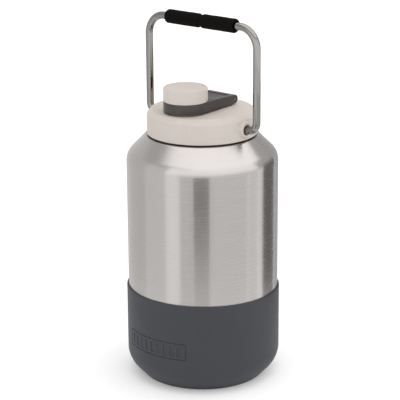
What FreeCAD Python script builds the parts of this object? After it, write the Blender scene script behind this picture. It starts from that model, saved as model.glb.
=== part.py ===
# Insulated growler: a double-walled steel bottle in a rubber boot, a screw lid with an
# off-centre spout, a screw cap held to the lid by a hinged strap, and a wire bail handle.
# Millimetres, +Z up. The origin is the centre of the face the bottle stands on, X runs
# along the bail's pivots, -Y is the spout's side and +Y the strap hinge's side.
import FreeCAD, Part
import math
import os
import Sketcher
from FreeCAD import Placement, Rotation, Vector

# ---------------------------------------------------------------- driving dimensions
DIMENSIONS = {
    # steel bottle
    "body_radius": 80.6,
    "steel_wall": 0.8,
    "heel_height": 19.1,
    "heel_round": 21.5,
    "base_radius": 62.5,
    "base_height": 2.5,
    "shoulder_height": 244.5,
    "shoulder_round": 18.0,
    "ledge_radius": 60.2,
    "ledge_height": 265.3,
    "ledge_round": 3.0,
    "neck_radius": 47.0,
    "rim_height": 286.0,
    "vacuum_gap": 4.7,
    "mouth_radius": 44.6,
    "liner_floor": 12.0,
    "liner_heel_round": 20.0,
    "dish_radius": 50.0,
    "dish_height": 5.7,
    "port_radius": 2.0,
    # screw thread between bottle and lid
    "lid_lead": 8.0,
    "neck_thread_turns": 1.25,
    "lid_thread_turns": 1.0,
    "thread_start": 270.0,
    "thread_depth": 1.4,
    "thread_base": 2.8,
    "thread_crest": 1.4,
    "skirt_root_radius": 48.8,
    # boot and skirt ring
    "boot_wall": 1.9,
    "boot_height": 98.5,
    "boot_foot_radius": 66.0,
    "boot_heel_height": 18.0,
    "boot_heel_round": 26.0,
    "boot_window_radius": 40.0,
    "skirt_ring_radius": 57.3,
    "skirt_ring_height": 1.2,
    # lid
    "lid_radius": 58.4,
    "lid_bottom": 266.9,
    "lid_side_top": 287.9,
    "lid_top": 293.0,
    "lid_crown_radius": 53.6,
    "lid_wall": 2.8,
    "lid_plate": 3.0,
    "core_skirt_radius": 51.0,
    "plug_radius": 44.0,
    "plug_bottom": 272.0,
    "plug_wall": 1.6,
    "gasket_thickness": 1.5,
    # bail handle
    "pivot_height": 278.3,
    "boss_radius": 8.8,
    "boss_reach": 61.2,
    "boss_root": 51.3,
    "rod_radius": 4.0,
    "pivot_clearance": 0.08,
    "rod_end": 52.5,
    "leg_offset": 73.6,
    "foot_bend": 10.0,
    "hand_bend": 21.5,
    "bar_height": 385.0,
    "grip_radius": 7.5,
    "grip_length": 46.0,
    # spout
    "spout_offset": 26.0,
    "spout_bore": 13.4,
    "spout_radius": 15.9,
    "spout_top": 312.5,
    "spout_flange": 19.5,
    "cap_lead": 3.0,
    "spout_thread_turns": 1.25,
    "cap_thread_turns": 1.0,
    "cap_thread_depth": 0.9,
    "cap_thread_base": 1.6,
    "cap_thread_crest": 0.7,
    # cap
    "cap_radius": 23.2,
    "cap_wall": 2.0,
    "cap_bottom": 305.4,
    "cap_top": 320.2,
    "cap_core_bore": 19.1,
    "cap_core_radius": 20.9,
    "cap_groove_radius": 20.0,
    # strap and its hinge
    "ring_bore": 21.2,
    "ring_bottom": 294.6,
    "ring_top": 305.2,
    "pin_distance": 58.2,
    "pin_height": 298.9,
    "pin_radius": 1.5,
    "pin_clearance": 0.05,
    "barrel_radius": 4.7,
    "barrel_reach": 18.3,
    "lug_reach": 9.0,
    "lug_radius": 3.2,
}


class Size:
    """A length that keeps its value together with the sheet expression it comes from."""

    def __init__(self, value, text):
        self.value = value
        self.text = text

    def __add__(self, other):
        other = as_size(other)
        return Size(self.value + other.value, "(%s + %s)" % (self.text, other.text))

    def __sub__(self, other):
        other = as_size(other)
        return Size(self.value - other.value, "(%s - %s)" % (self.text, other.text))

    def __mul__(self, factor):
        return Size(self.value * factor, "(%s * %g)" % (self.text, factor))

    def __neg__(self):
        return self * -1


def as_size(number):
    return number if isinstance(number, Size) else Size(float(number), "%g" % number)


class Dimensions:
    """Gives each driving dimension of the sheet as a Size: d.body_radius."""

    def __getattr__(self, name):
        return Size(DIMENSIONS[name], "Dims." + name)


d = Dimensions()
doc = FreeCAD.newDocument("growler")
sheet = doc.addObject("Spreadsheet::Sheet", "Dims")
for row, (name, value) in enumerate(DIMENSIONS.items(), 1):
    sheet.set("A%d" % row, name)
    sheet.set("B%d" % row, "%g" % value)
    sheet.setAlias("B%d" % row, name)
doc.recompute()

# A corner between two walls that meet at about 45 degrees moves by this share of the
# wall's thickness when the walls are drawn again one thickness further in.
CORNER_SHARE = 0.41
ZERO = as_size(0)
# A thread's root starts this far inside the wall that it stands on.
THREAD_SUNK = 0.4
# Each seal ring stands this far above the lip that it seals on.
SEAL_GAP = 0.05
# The groove in the lid for the ring under the spout's flange.
SEAL_GROOVE_WIDTH = 2.0
SEAL_GROOVE_DEPTH = 1.5


# ---------------------------------------------------------------- sketch helpers
def bind(owner, target, size):
    """Sets a property or constraint of owner to a size, and ties it to the sheet."""
    if "Dims." in size.text:
        owner.setExpression(target, size.text)


def new_body(label):
    body = doc.addObject("PartDesign::Body", label)
    body.Label = label
    return body


def new_sketch(body, plane, name, offset=ZERO, turn=0.0):
    """A sketch on one of the body's origin planes, lifted off it by offset."""
    sketch = body.newObject("Sketcher::SketchObject", body.Name + "_" + name)
    support = next(f for f in body.Origin.OriginFeatures if f.Role == plane)
    sketch.AttachmentSupport = [(support, "")]
    sketch.MapMode = "FlatFace"
    spin = Rotation(Vector(0, 0, 1), turn)
    sketch.AttachmentOffset = Placement(Vector(0, 0, offset.value), spin)
    bind(sketch, "AttachmentOffset.Base.z", offset)
    return sketch


def hold(sketch, kind, size, *where):
    """Adds a dimension to the sketch under a name of its own, tied to the sheet."""
    index = sketch.addConstraint(Sketcher.Constraint(kind, *where, size.value))
    label = "%s_%d" % (kind.lower(), index)
    sketch.renameConstraint(index, label)
    bind(sketch, "Constraints." + label, size)


def pin_point(sketch, geometry, point, x, y):
    """Fixes a point of the sketch by its two distances from the sketch's origin."""
    for kind, size, axis in (("DistanceX", as_size(x), -2), ("DistanceY", as_size(y), -1)):
        if abs(size.value) < 1e-9:
            sketch.addConstraint(Sketcher.Constraint("PointOnObject", geometry, point, axis))
        elif size.value > 0:
            hold(sketch, kind, size, -1, 1, geometry, point)
        else:
            hold(sketch, kind, -size, geometry, point, -1, 1)


def draw_polygon(sketch, points):
    """Draws a closed polygon whose every corner is held by two distances."""
    corners = [Vector(as_size(x).value, as_size(y).value, 0) for x, y in points]
    first = sketch.GeometryCount
    count = len(corners)
    for i in range(count):
        sketch.addGeometry(Part.LineSegment(corners[i], corners[(i + 1) % count]), False)
    for i in range(count):
        after = first + (i + 1) % count
        sketch.addConstraint(Sketcher.Constraint("Coincident", first + i, 2, after, 1))
        pin_point(sketch, first + i, 1, *points[i])


def draw_path(sketch, points):
    """Draws an open run of lines whose every corner is held by two distances."""
    corners = [Vector(as_size(x).value, as_size(y).value, 0) for x, y in points]
    for i, (start, end) in enumerate(zip(corners[:-1], corners[1:])):
        sketch.addGeometry(Part.LineSegment(start, end), False)
        if i:
            sketch.addConstraint(Sketcher.Constraint("Coincident", i - 1, 2, i, 1))
        pin_point(sketch, i, 1, *points[i])
    pin_point(sketch, len(corners) - 2, 2, *points[-1])


def round_corner(sketch, line, end, radius):
    """Rounds the corner at one end of a line and holds the arc's radius."""
    radius = as_size(radius)
    sketch.fillet(line, end, radius.value, True, True)
    hold(sketch, "Radius", radius, sketch.GeometryCount - 2)


def draw_circle(sketch, x, y, radius):
    centre = Vector(as_size(x).value, as_size(y).value, 0)
    index = sketch.addGeometry(Part.Circle(centre, Vector(0, 0, 1), radius.value), False)
    hold(sketch, "Radius", radius, index)
    pin_point(sketch, index, 3, x, y)


# ---------------------------------------------------------------- feature helpers
def finish_feature(body, feature, removes=False):
    """Recomputes the document and checks that the feature added or removed something."""
    base = feature.BaseFeature.Shape.Volume if feature.BaseFeature else 0.0
    doc.recompute()
    change = feature.Shape.Volume - base
    if (removes and change >= 0) or (not removes and change <= 0):
        raise RuntimeError("%s changed the volume by %g" % (feature.Name, change))
    return feature


def turn_profile(body, name, points, kind="PartDesign::Revolution", angle=360.0,
                 turn=0.0, axis="V_Axis", rounds=()):
    """Revolves a polygon about an axis of its sketch: V_Axis is the body's Z, H_Axis its X."""
    sketch = new_sketch(body, "XZ_Plane", name + "_sketch")
    if turn:
        sketch.AttachmentOffset = Placement(Vector(), Rotation(Vector(0, 1, 0), turn))
    draw_polygon(sketch, points)
    for corner, radius in rounds:
        round_corner(sketch, corner, 1, radius)
    feature = body.newObject(kind, body.Name + "_" + name)
    feature.Profile = sketch
    feature.ReferenceAxis = (sketch, [axis])
    feature.Angle = angle
    feature.Midplane = angle < 360.0
    return finish_feature(body, feature, kind == "PartDesign::Groove")


def lathe(label, points, axis_shift=None):
    """A body turned from one closed profile. axis_shift moves its axis along Y."""
    body = new_body(label)
    turn_profile(body, "turned", points)
    if axis_shift is not None:
        shift_along_y(body, axis_shift)
    return body


def shift_along_y(body, distance):
    body.Placement = Placement(Vector(0, distance.value, 0), Rotation())
    bind(body, "Placement.Base.y", distance)


def extrude(body, name, sketch, length=None, kind="PartDesign::Pad", backwards=False,
            symmetric=False):
    """Pads or pockets a sketch. No length means through everything."""
    feature = body.newObject(kind, body.Name + "_" + name)
    feature.Profile = sketch
    if length is None:
        feature.Type = "ThroughAll"
    else:
        feature.Length = length.value
        bind(feature, "Length", length)
    feature.Reversed = backwards
    feature.Midplane = symmetric
    return finish_feature(body, feature, kind == "PartDesign::Pocket")


def round_edges(body, name, radius, chosen):
    """Rounds the circular edges of the body for which chosen(circle) is true."""
    base = body.Tip
    names = ["Edge%d" % index for index, edge in enumerate(base.Shape.Edges, 1)
             if isinstance(edge.Curve, Part.Circle) and chosen(edge.Curve)]
    if not names:
        raise RuntimeError("no edge for %s of %s" % (name, body.Name))
    fillet = body.newObject("PartDesign::Fillet", body.Name + "_" + name)
    fillet.Base = (base, names)
    radius = as_size(radius)
    fillet.Radius = radius.value
    bind(fillet, "Radius", radius)
    doc.recompute()


def round_rings(body, name, radius, rings):
    """Rounds the level circular edges that have one of the given (radius, height)."""
    wanted = [(as_size(r).value, as_size(z).value) for r, z in rings]

    def chosen(circle):
        return any(abs(circle.Radius - r) < 1e-3 and abs(circle.Center.z - z) < 1e-3
                   for r, z in wanted)

    round_edges(body, name, radius, chosen)


def repeat_round(body, name, feature, count, angle):
    """Repeats a feature about the body's Z axis, over the given angle."""
    pattern = body.newObject("PartDesign::PolarPattern", body.Name + "_" + name)
    pattern.Originals = [feature]
    upright = next(f for f in body.Origin.OriginFeatures if f.Role == "Z_Axis")
    pattern.Axis = (upright, [""])
    pattern.Angle = angle
    pattern.Occurrences = count
    body.Tip = pattern
    doc.recompute()


def drill(body, name, x, y, radius, start=ZERO, depth=None):
    """Bores a vertical hole upwards from height start."""
    sketch = new_sketch(body, "XY_Plane", name + "_sketch", start)
    draw_circle(sketch, x, y, radius)
    return extrude(body, name, sketch, depth, "PartDesign::Pocket", backwards=True)


def wind_thread(body, name, root, crest, start, lead, turns, base, tip, side=1):
    """Winds a trapezoidal right-hand thread onto the wall of radius root."""
    outward = 1 if crest.value > root.value else -1
    sunk = root - THREAD_SUNK * outward
    slope = (base - tip) * 0.5
    sketch = new_sketch(body, "XZ_Plane", name + "_sketch")
    draw_polygon(sketch, [(sunk * side, start - base * 0.5), (root * side, start - base * 0.5),
                          (crest * side, start - base * 0.5 + slope),
                          (crest * side, start + base * 0.5 - slope),
                          (root * side, start + base * 0.5), (sunk * side, start + base * 0.5)])
    helix = body.newObject("PartDesign::AdditiveHelix", body.Name + "_" + name)
    helix.Profile = sketch
    helix.ReferenceAxis = (sketch, ["V_Axis"])
    helix.Mode = "pitch-turns-angle"
    helix.Pitch = lead.value
    bind(helix, "Pitch", lead)
    helix.Turns = turns.value
    bind(helix, "Turns", turns)
    return finish_feature(body, helix)


# ---------------------------------------------------------------- bottle
def make_outer_shell():
    """Outer steel wall from the heel to the ledge, and the neck welded onto the ledge."""
    wall = d.steel_wall
    shift = wall * CORNER_SHARE
    neck_inside = d.neck_radius - wall
    outer = [(d.base_radius, d.base_height), (d.body_radius, d.heel_height),
             (d.body_radius, d.shoulder_height), (d.ledge_radius, d.ledge_height),
             (neck_inside, d.ledge_height)]
    inner = [(neck_inside, d.ledge_height - wall),
             (d.ledge_radius - shift, d.ledge_height - wall),
             (d.body_radius - wall, d.shoulder_height - shift),
             (d.body_radius - wall, d.heel_height + shift),
             (d.base_radius - shift, d.base_height + wall)]
    body = lathe("outer_shell", outer + inner)
    round_rings(body, "shoulder", d.shoulder_round, [outer[2]])
    round_rings(body, "shoulder_inside", d.shoulder_round - wall, [inner[2]])
    round_rings(body, "heel", d.heel_round, [outer[1]])
    round_rings(body, "heel_inside", d.heel_round - wall, [inner[3]])
    round_rings(body, "ledge", d.ledge_round, [outer[3]])
    round_rings(body, "ledge_inside", d.ledge_round - wall, [inner[1]])

    neck = lathe("neck", [(neck_inside, d.ledge_height), (d.neck_radius, d.ledge_height),
                          (d.neck_radius, d.rim_height - wall),
                          (neck_inside, d.rim_height - wall)])
    wind_thread(neck, "thread", d.neck_radius, d.neck_radius + d.thread_depth,
                d.thread_start, d.lid_lead, d.neck_thread_turns, d.thread_base,
                d.thread_crest)


def make_inner_vessel():
    """Steel liner that holds the drink, and its throat, whose lip covers the neck's edge."""
    wall = d.steel_wall
    shift = wall * CORNER_SHARE
    gap = d.vacuum_gap + wall
    radius = d.body_radius - gap
    shoulder = d.shoulder_height - gap * CORNER_SHARE
    cone_end = d.ledge_radius - gap * CORNER_SHARE
    roof = d.ledge_height - gap
    outer = [(ZERO, d.liner_floor - wall), (radius, d.liner_floor - wall), (radius, shoulder),
             (cone_end, roof), (d.mouth_radius, roof)]
    inner = [(d.mouth_radius, roof - wall), (cone_end - shift, roof - wall),
             (radius - wall, shoulder - shift), (radius - wall, d.liner_floor),
             (ZERO, d.liner_floor)]
    body = lathe("inner_vessel", outer + inner)
    round_rings(body, "heel", d.liner_heel_round, [outer[1]])
    round_rings(body, "heel_inside", d.liner_heel_round - wall, [inner[3]])
    round_rings(body, "shoulder", d.shoulder_round - gap, [outer[2]])
    round_rings(body, "shoulder_inside", d.shoulder_round - gap - wall, [inner[2]])
    round_rings(body, "roof", d.ledge_round, [outer[3]])
    round_rings(body, "roof_inside", d.ledge_round - wall, [inner[1]])

    throat_outside = d.mouth_radius + wall
    throat = lathe("throat", [
        (d.mouth_radius, roof), (throat_outside, roof), (throat_outside, d.rim_height - wall),
        (d.neck_radius, d.rim_height - wall), (d.neck_radius, d.rim_height),
        (d.mouth_radius, d.rim_height)])
    lip_round = 0.3
    round_rings(throat, "lip", lip_round, [(d.mouth_radius, d.rim_height),
                                           (d.neck_radius, d.rim_height)])


def make_base():
    """Welded bottom of the outer wall, its vacuum port's seal, cover and getter."""
    wall = d.steel_wall
    rim = d.base_radius - wall
    slope, slope_round = 3.2, 1.0
    base = lathe("shell_base", [
        (d.port_radius, d.dish_height), (d.dish_radius, d.dish_height),
        (d.dish_radius + slope, d.base_height), (rim, d.base_height),
        (rim, d.base_height + wall), (d.dish_radius + slope, d.base_height + wall),
        (d.dish_radius, d.dish_height + wall), (d.port_radius, d.dish_height + wall)])
    round_rings(base, "dish", slope_round, [(d.dish_radius + slope, d.base_height + wall)])

    bead, bead_crown, bead_edge, bead_drop = as_size(4.0), as_size(3.0), 0.3, 0.7
    lathe("vacuum_seal", [
        (ZERO, d.dish_height - bead_drop), (bead_crown, d.dish_height - bead_drop),
        (bead, d.dish_height - bead_edge), (bead, d.dish_height),
        (d.port_radius, d.dish_height), (d.port_radius, d.dish_height + wall),
        (ZERO, d.dish_height + wall)])

    disc_margin, disc_drop, disc_wall, disc_round = 3.0, 1.5, 0.6, 0.5
    edge = d.dish_radius - disc_margin
    face = d.dish_height - disc_drop
    disc = lathe("base_disc", [
        (ZERO, face), (edge, face), (edge, d.dish_height), (edge - disc_wall, d.dish_height),
        (edge - disc_wall, face + disc_wall), (ZERO, face + disc_wall)])
    round_rings(disc, "edge", disc_round, [(edge, face)])

    pill, pill_height, pill_round = as_size(6.0), 2.0, 0.6
    pill_top = d.liner_floor - wall
    getter = lathe("getter", [(ZERO, pill_top - pill_height), (pill, pill_top - pill_height),
                              (pill, pill_top), (ZERO, pill_top)])
    round_rings(getter, "edge", pill_round, [(pill, pill_top - pill_height)])


def make_boot():
    """Rubber boot round the lower third, with a plain debossed panel facing -Y."""
    fit = 0.05
    outer_radius = d.body_radius + d.boot_wall
    inner_radius = d.body_radius + fit
    foot = d.boot_foot_radius
    body = lathe("boot", [
        (d.boot_window_radius, ZERO), (foot, ZERO), (outer_radius, d.boot_heel_height),
        (outer_radius, d.boot_height), (inner_radius, d.boot_height),
        (inner_radius, d.heel_height), (d.base_radius + fit, d.base_height),
        (d.boot_window_radius, d.base_height)])
    round_rings(body, "heel", d.boot_heel_round, [(outer_radius, d.boot_heel_height)])
    round_rings(body, "heel_inside", d.heel_round, [(inner_radius, d.heel_height)])
    for name, radius, ring in (("foot", 2.0, (foot, ZERO)),
                               ("top_lip", 0.9, (outer_radius, d.boot_height)),
                               ("window_lip", 0.8, (d.boot_window_radius, ZERO))):
        round_rings(body, name, radius, [ring])

    panel_low, panel_high = 39.0, 57.6
    panel_half_angle = 28.0
    line, line_depth = 1.0, 0.45
    floor = outer_radius - line_depth
    outside = outer_radius + 1.0

    def deboss(name, low, high, angle, middle):
        window = [(floor, low), (outside, low), (outside, high), (floor, high)]
        return turn_profile(body, name, window, "PartDesign::Groove", angle, middle)

    front = -90.0
    deboss("panel_foot", panel_low, panel_low + line, 2 * panel_half_angle, front)
    deboss("panel_head", panel_high - line, panel_high, 2 * panel_half_angle, front)
    line_angle = 0.7
    for side, name in ((-1, "panel_left"), (1, "panel_right")):
        edge = front + side * (panel_half_angle - line_angle / 2)
        deboss(name, panel_low, panel_high, line_angle, edge)
    slots, slot_pitch, slot_angle, slot_margin = 9, 5.6, 3.2, 3.6
    first = front - slot_pitch * (slots - 1) / 2
    slot = deboss("slot", panel_low + slot_margin, panel_high - slot_margin, slot_angle, first)
    repeat_round(body, "slots", slot, slots, slot_pitch * (slots - 1))


def make_skirt_ring():
    """Black rubber washer on the ledge that the lid comes down on."""
    thread_gap, edge_round = 0.4, 0.5
    inner = d.neck_radius + d.thread_depth + thread_gap
    top = d.ledge_height + d.skirt_ring_height
    ring = lathe("skirt_ring", [(inner, d.ledge_height), (d.skirt_ring_radius, d.ledge_height),
                                (d.skirt_ring_radius, top), (inner, top)])
    round_rings(ring, "edge", edge_round, [(d.skirt_ring_radius, top)])


# ---------------------------------------------------------------- lid
def spout_line():
    """The spout and cap share an axis this far along Y."""
    return -d.spout_offset


def make_lid_cover():
    """Outer plastic shell of the lid, with the bail's bosses and the strap's hinge lug."""
    inside = d.lid_radius - d.lid_wall
    ceiling = d.lid_top - d.lid_plate
    body = lathe("lid_cover", [
        (inside, d.lid_bottom), (d.lid_radius, d.lid_bottom), (d.lid_radius, d.lid_side_top),
        (d.lid_crown_radius, d.lid_top), (ZERO, d.lid_top), (ZERO, ceiling), (inside, ceiling)])
    for name, radius, ring in (("crown", 3.0, (d.lid_radius, d.lid_side_top)),
                               ("brow", 3.0, (d.lid_crown_radius, d.lid_top)),
                               ("hem", 0.8, (d.lid_radius, d.lid_bottom))):
        round_rings(body, name, radius, [ring])

    groove_width, groove_depth, groove_count, beyond = 4.4, 0.35, 8, 2.0
    sketch = new_sketch(body, "XY_Plane", "groove_sketch", turn=180.0 / groove_count)
    near = d.lid_radius - groove_depth
    far = d.lid_radius + beyond
    draw_polygon(sketch, [(near, -groove_width / 2), (far, -groove_width / 2),
                          (far, groove_width / 2), (near, groove_width / 2)])
    groove = extrude(body, "groove", sketch, None, "PartDesign::Pocket", backwards=True)
    repeat_round(body, "grooves", groove, groove_count, 360.0)

    socket = d.rod_radius + d.pivot_clearance
    end_play, lip_round, mouth_step, mouth_depth = 0.3, 1.2, 1.2, 1.4
    for side, hand in ((1, "right"), (-1, "left")):
        sketch = new_sketch(body, "YZ_Plane", hand + "_boss_sketch", d.boss_root * side)
        draw_circle(sketch, ZERO, d.pivot_height, d.boss_radius)
        extrude(body, hand + "_boss", sketch, d.boss_reach - d.boss_root, backwards=side < 0)
    reach = d.boss_reach.value
    round_edges(body, "boss_lips", lip_round,
                lambda circle: abs(abs(circle.Center.x) - reach) < 1e-3)
    for name, start, radius in (("socket", d.rod_end - end_play, socket),
                                ("mouth", d.boss_reach - mouth_depth, socket + mouth_step)):
        for side, hand in ((1, "right"), (-1, "left")):
            sketch = new_sketch(body, "YZ_Plane", hand + "_" + name + "_sketch", start * side)
            draw_circle(sketch, ZERO, d.pivot_height, radius)
            extrude(body, hand + "_" + name, sketch, d.boss_reach - start + beyond,
                    "PartDesign::Pocket", backwards=side > 0)

    pin_line = d.pin_distance - d.spout_offset
    rooted = 1.0
    sketch = new_sketch(body, "YZ_Plane", "lug_sketch")
    draw_polygon(sketch, [(pin_line - d.lug_radius, d.lid_top - rooted),
                          (pin_line + d.lug_radius, d.lid_top - rooted),
                          (pin_line + d.lug_radius, d.pin_height),
                          (pin_line - d.lug_radius, d.pin_height)])
    extrude(body, "lug", sketch, d.lug_reach * 2, symmetric=True)
    sketch = new_sketch(body, "YZ_Plane", "lug_head_sketch")
    draw_circle(sketch, pin_line, d.pin_height, d.lug_radius)
    extrude(body, "lug_head", sketch, d.lug_reach * 2, symmetric=True)
    sketch = new_sketch(body, "YZ_Plane", "lug_bore_sketch")
    draw_circle(sketch, pin_line, d.pin_height, d.pin_radius + d.pin_clearance)
    extrude(body, "lug_bore", sketch, d.barrel_reach * 2, "PartDesign::Pocket", symmetric=True)

    drill(body, "spout_hole", ZERO, spout_line(), d.spout_radius, ceiling - rooted)
    drill(body, "ring_seat", ZERO, spout_line(), d.spout_radius + SEAL_GROOVE_WIDTH,
          d.lid_top - SEAL_GROOVE_DEPTH)


def make_lid_inside():
    """Threaded core with its insulated plug, the foam in the plug and the seal ring."""
    skirt_recess, flange_thickness, plug_round, crest_gap, side_gap = 0.5, 1.6, 1.0, 0.1, 0.2
    ceiling = d.lid_top - d.lid_plate
    seal_bottom = d.rim_height + SEAL_GAP
    seat = seal_bottom + d.gasket_thickness
    skirt_foot = d.lid_bottom + skirt_recess
    flange_top = skirt_foot + flange_thickness
    flange_radius = d.lid_radius - d.lid_wall
    plug_inside = d.plug_radius - d.plug_wall
    plug_floor = d.plug_bottom + d.plug_wall
    core = lathe("lid_core", [
        (ZERO, d.plug_bottom), (d.plug_radius, d.plug_bottom), (d.plug_radius, seat),
        (d.skirt_root_radius, seat), (d.skirt_root_radius, skirt_foot),
        (flange_radius, skirt_foot), (flange_radius, flange_top),
        (d.core_skirt_radius, flange_top), (d.core_skirt_radius, ceiling),
        (plug_inside, ceiling), (plug_inside, plug_floor), (ZERO, plug_floor)])
    round_rings(core, "plug_edge", plug_round, [(d.plug_radius, d.plug_bottom)])
    crest = d.skirt_root_radius - d.thread_depth + crest_gap
    wind_thread(core, "thread", d.skirt_root_radius, crest, d.thread_start, d.lid_lead,
                d.lid_thread_turns, d.thread_base, d.thread_crest, side=-1)
    drill(core, "spout_hole", ZERO, spout_line(), d.spout_radius)

    foam = lathe("lid_insulation", [(ZERO, plug_floor), (plug_inside, plug_floor),
                                    (plug_inside, ceiling), (ZERO, ceiling)])
    drill(foam, "spout_hole", ZERO, spout_line(), d.spout_radius)

    seal_inside, seal_outside = d.plug_radius + side_gap, d.skirt_root_radius - side_gap
    lathe("lid_gasket", [(seal_inside, seal_bottom), (seal_outside, seal_bottom),
                         (seal_outside, seat - SEAL_GAP), (seal_inside, seat - SEAL_GAP)])


def make_spout():
    """Pouring spout through the lid, its screw thread and the ring that seals it."""
    flange_thickness, lip_round, flange_round = 1.4, 0.9, 0.5
    flange_top = d.lid_top + flange_thickness
    body = lathe("spout", [
        (d.spout_bore, d.plug_bottom), (d.spout_radius, d.plug_bottom),
        (d.spout_radius, d.lid_top), (d.spout_flange, d.lid_top),
        (d.spout_flange, flange_top), (d.spout_radius, flange_top),
        (d.spout_radius, d.spout_top), (d.spout_bore, d.spout_top)], spout_line())
    round_rings(body, "lip", lip_round, [(d.spout_radius, d.spout_top),
                                         (d.spout_bore, d.spout_top)])
    round_rings(body, "flange_edge", flange_round, [(d.spout_flange, flange_top)])
    wind_thread(body, "thread", d.spout_radius, d.spout_radius + d.cap_thread_depth,
                d.cap_bottom, d.cap_lead, d.spout_thread_turns, d.cap_thread_base,
                d.cap_thread_crest)

    ring_section = as_size(0.72)
    ring = new_body("spout_seal_ring")
    sketch = new_sketch(ring, "XZ_Plane", "section_sketch")
    draw_circle(sketch, d.spout_radius + SEAL_GROOVE_WIDTH / 2,
                d.lid_top - SEAL_GROOVE_DEPTH / 2, ring_section)
    turned = ring.newObject("PartDesign::Revolution", "spout_seal_ring_turned")
    turned.Profile = sketch
    turned.ReferenceAxis = (sketch, ["V_Axis"])
    turned.Angle = 360.0
    finish_feature(ring, turned)
    shift_along_y(ring, spout_line())


# ---------------------------------------------------------------- bail handle
def make_rod():
    """Wire bail: both feet turn in to sit in the lid's bosses."""
    body = new_body("handle_rod")
    path = new_sketch(body, "XZ_Plane", "path_sketch")
    leg, low, top = d.leg_offset, d.pivot_height, d.bar_height
    draw_path(path, [(d.rod_end, low), (leg, low), (leg, top), (-leg, top), (-leg, low),
                     (-d.rod_end, low)])
    for line, bend in enumerate((d.foot_bend, d.hand_bend, d.hand_bend, d.foot_bend)):
        round_corner(path, line, 2, bend)
    section = new_sketch(body, "YZ_Plane", "section_sketch", d.rod_end)
    draw_circle(section, ZERO, low, d.rod_radius)
    pipe = body.newObject("PartDesign::AdditivePipe", "handle_rod_bent")
    pipe.Profile = section
    pipe.Spine = (path, [])
    finish_feature(body, pipe)


def make_grips():
    """Two foam sleeves that meet at the middle of the bar."""
    notch_depth, notch_length, ring_place, ring_half, ring_depth = 1.6, 3.4, 7.5, 0.5, 0.5
    joint, end_corner, end_round = 0.1, 6, 1.6
    for side, hand in ((1, "right"), (-1, "left")):
        body = new_body("grip_" + hand)
        outline = [(joint, d.rod_radius), (joint, d.grip_radius - notch_depth),
                   (joint + notch_length, d.grip_radius),
                   (ring_place - ring_half, d.grip_radius),
                   (ring_place, d.grip_radius - ring_depth),
                   (ring_place + ring_half, d.grip_radius),
                   (d.grip_length, d.grip_radius), (d.grip_length, d.rod_radius)]
        placed = [(as_size(x) * side, radius) for x, radius in outline]
        turn_profile(body, "turned", placed, axis="H_Axis", rounds=[(end_corner, end_round)])
        body.Placement = Placement(Vector(0, 0, d.bar_height.value), Rotation())
        bind(body, "Placement.Base.z", d.bar_height)


# ---------------------------------------------------------------- strap and cap
def make_strap():
    """Ring round the cap, two arms, a web and the hinge barrel, drawn from the cap's axis."""
    body = new_body("strap")
    beyond, margin = 1.0, 6.0
    pin = d.pin_distance
    end = pin + d.barrel_radius + beyond
    width = d.cap_radius * 2

    side = new_sketch(body, "YZ_Plane", "side_sketch")
    barrel_foot = d.pin_height - d.barrel_radius
    barrel_head = d.pin_height + d.barrel_radius
    draw_polygon(side, [(-d.cap_radius, d.ring_bottom), (d.cap_radius, d.ring_bottom),
                        (pin, barrel_foot), (pin, barrel_head), (d.cap_radius, d.ring_top),
                        (-d.cap_radius, d.ring_top)])
    extrude(body, "side", side, width, symmetric=True)
    barrel = new_sketch(body, "YZ_Plane", "barrel_sketch")
    draw_circle(barrel, pin, d.pin_height, d.barrel_radius)
    extrude(body, "barrel", barrel, d.barrel_reach * 2, symmetric=True)

    plan = new_sketch(body, "XY_Plane", "plan_sketch")
    draw_polygon(plan, [(-d.cap_radius - margin, -d.cap_radius - margin),
                        (d.cap_radius + margin, -d.cap_radius - margin),
                        (d.cap_radius + margin, end + margin),
                        (-d.cap_radius - margin, end + margin)])
    draw_strap_outline(plan, end)
    extrude(body, "plan", plan, None, "PartDesign::Pocket", backwards=True)

    lip_reach, lip_depth, lip_height = 0.9, 1.2, 2.5
    lip_high = d.ring_top - lip_depth
    lip_low = lip_high - lip_height
    bore = d.ring_bore
    turn_profile(body, "bore", [
        (ZERO, d.ring_bottom - beyond), (bore, d.ring_bottom - beyond), (bore, lip_low),
        (bore - lip_reach, lip_low), (bore - lip_reach, lip_high), (bore, lip_high),
        (bore, d.ring_top + beyond), (ZERO, d.ring_top + beyond)], "PartDesign::Groove")

    well_half, well_depth, web_thickness, web_front, web_back = 14.5, 2.0, 2.3, 1.6, 0.8
    hollow_half = well_half + 1.0
    well_floor = d.ring_top - well_depth
    hollow_roof = well_floor - web_thickness
    front, back = d.cap_radius + web_front, pin - d.barrel_radius - web_back
    hollow = new_sketch(body, "XY_Plane", "hollow_sketch", hollow_roof)
    draw_polygon(hollow, [(-hollow_half, front), (hollow_half, front), (hollow_half, back),
                          (-hollow_half, back)])
    extrude(body, "hollow", hollow, None, "PartDesign::Pocket")
    well = new_sketch(body, "XY_Plane", "well_sketch", well_floor)
    draw_polygon(well, [(-well_half, front), (well_half, front), (well_half, back),
                        (-well_half, back)])
    extrude(body, "well", well, None, "PartDesign::Pocket", backwards=True)
    cut_lug_slot(body, pin)
    hole = new_sketch(body, "YZ_Plane", "pin_hole_sketch")
    draw_circle(hole, pin, d.pin_height, d.pin_radius)
    extrude(body, "pin_hole", hole, width, "PartDesign::Pocket", symmetric=True)
    shift_along_y(body, spout_line())


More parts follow.
